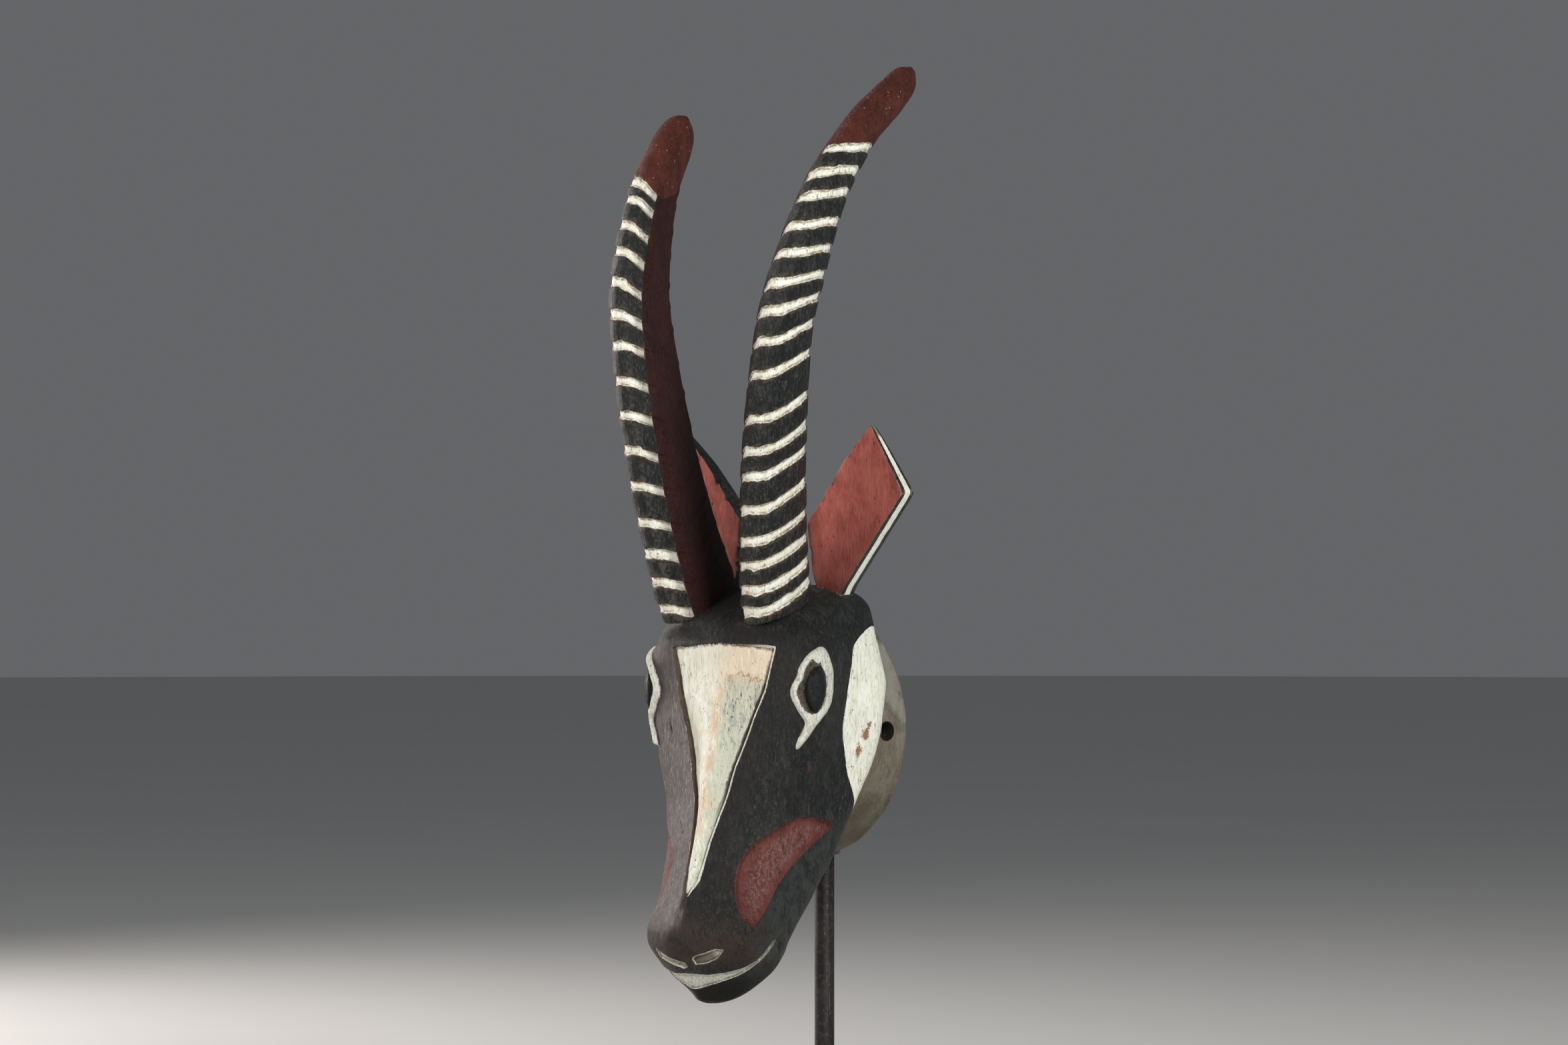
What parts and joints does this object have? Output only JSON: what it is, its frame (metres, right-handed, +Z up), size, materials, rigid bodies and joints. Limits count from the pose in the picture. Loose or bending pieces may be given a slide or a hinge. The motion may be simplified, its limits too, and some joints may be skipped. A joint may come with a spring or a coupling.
{
  "type": "carved antelope mask on a display stand",
  "caption": "Painted wooden antelope mask with long ringed horns and leaf ears, open at the back, hanging on a rod display stand.",
  "frame": {"origin": "on the table, where the rod's axis meets the underside of the felt", "axes": "+Z up along the rod, the mask's face looks towards -Y, +X is to the right as seen from in front of the face"},
  "size_m": [0.201, 0.2049, 0.7071],
  "materials": {
    "black_painted_wood": "hand-painted charcoal black with cream and brick red areas, matt, brushed along the grain",
    "red_painted_wood": "hand-painted brick red, matt, pitted",
    "dowel_wood": "bare hardwood dowel",
    "dark_steel": "black patina, satin",
    "bright_steel": "turned steel",
    "felt": "dense felt"
  },
  "bodies": {
    "base": {"base_felt": "felt", "stand_plate": "dark_steel", "rod_socket": "dark_steel", "socket_screw": "bright_steel"},
    "rod": {"stand_rod": "dark_steel", "rod_cap": "dark_steel", "rest_sleeve": "felt"},
    "hanger": {"hanger_collar": "dark_steel", "hanger_arm": "dark_steel", "hanger_pad": "felt"},
    "clamp_screw": {"collar_screw": "bright_steel"},
    "mask": {"head_shell": "black_painted_wood", "horn_left": "black_painted_wood", "horn_right": "black_painted_wood", "ear_left": "red_painted_wood", "ear_right": "red_painted_wood", "horn_pegs": "dowel_wood", "ear_pegs": "dowel_wood"}
  },
  "joints": [
    {"name": "rod_swivel", "type": "hinge", "parent": "base", "child": "rod", "pos_m": [0, 0, 0.02], "axis": [0, 0, 1], "continuous": true},
    {"name": "hanger_slide", "type": "slide", "parent": "rod", "child": "hanger", "axis": [0, 0, 1], "range_m": [-0.08, 0.008]},
    {"name": "clamp_screw_turn", "type": "hinge", "parent": "hanger", "child": "clamp_screw", "pos_m": [0, 0.03, 0.3397], "axis": [0, 1, 0], "range_deg": [0, 720]},
    {"name": "mask_lift", "type": "slide", "parent": "hanger", "child": "mask", "axis": [0, 0, 1], "range_m": [0, 0.12]}
  ]
}
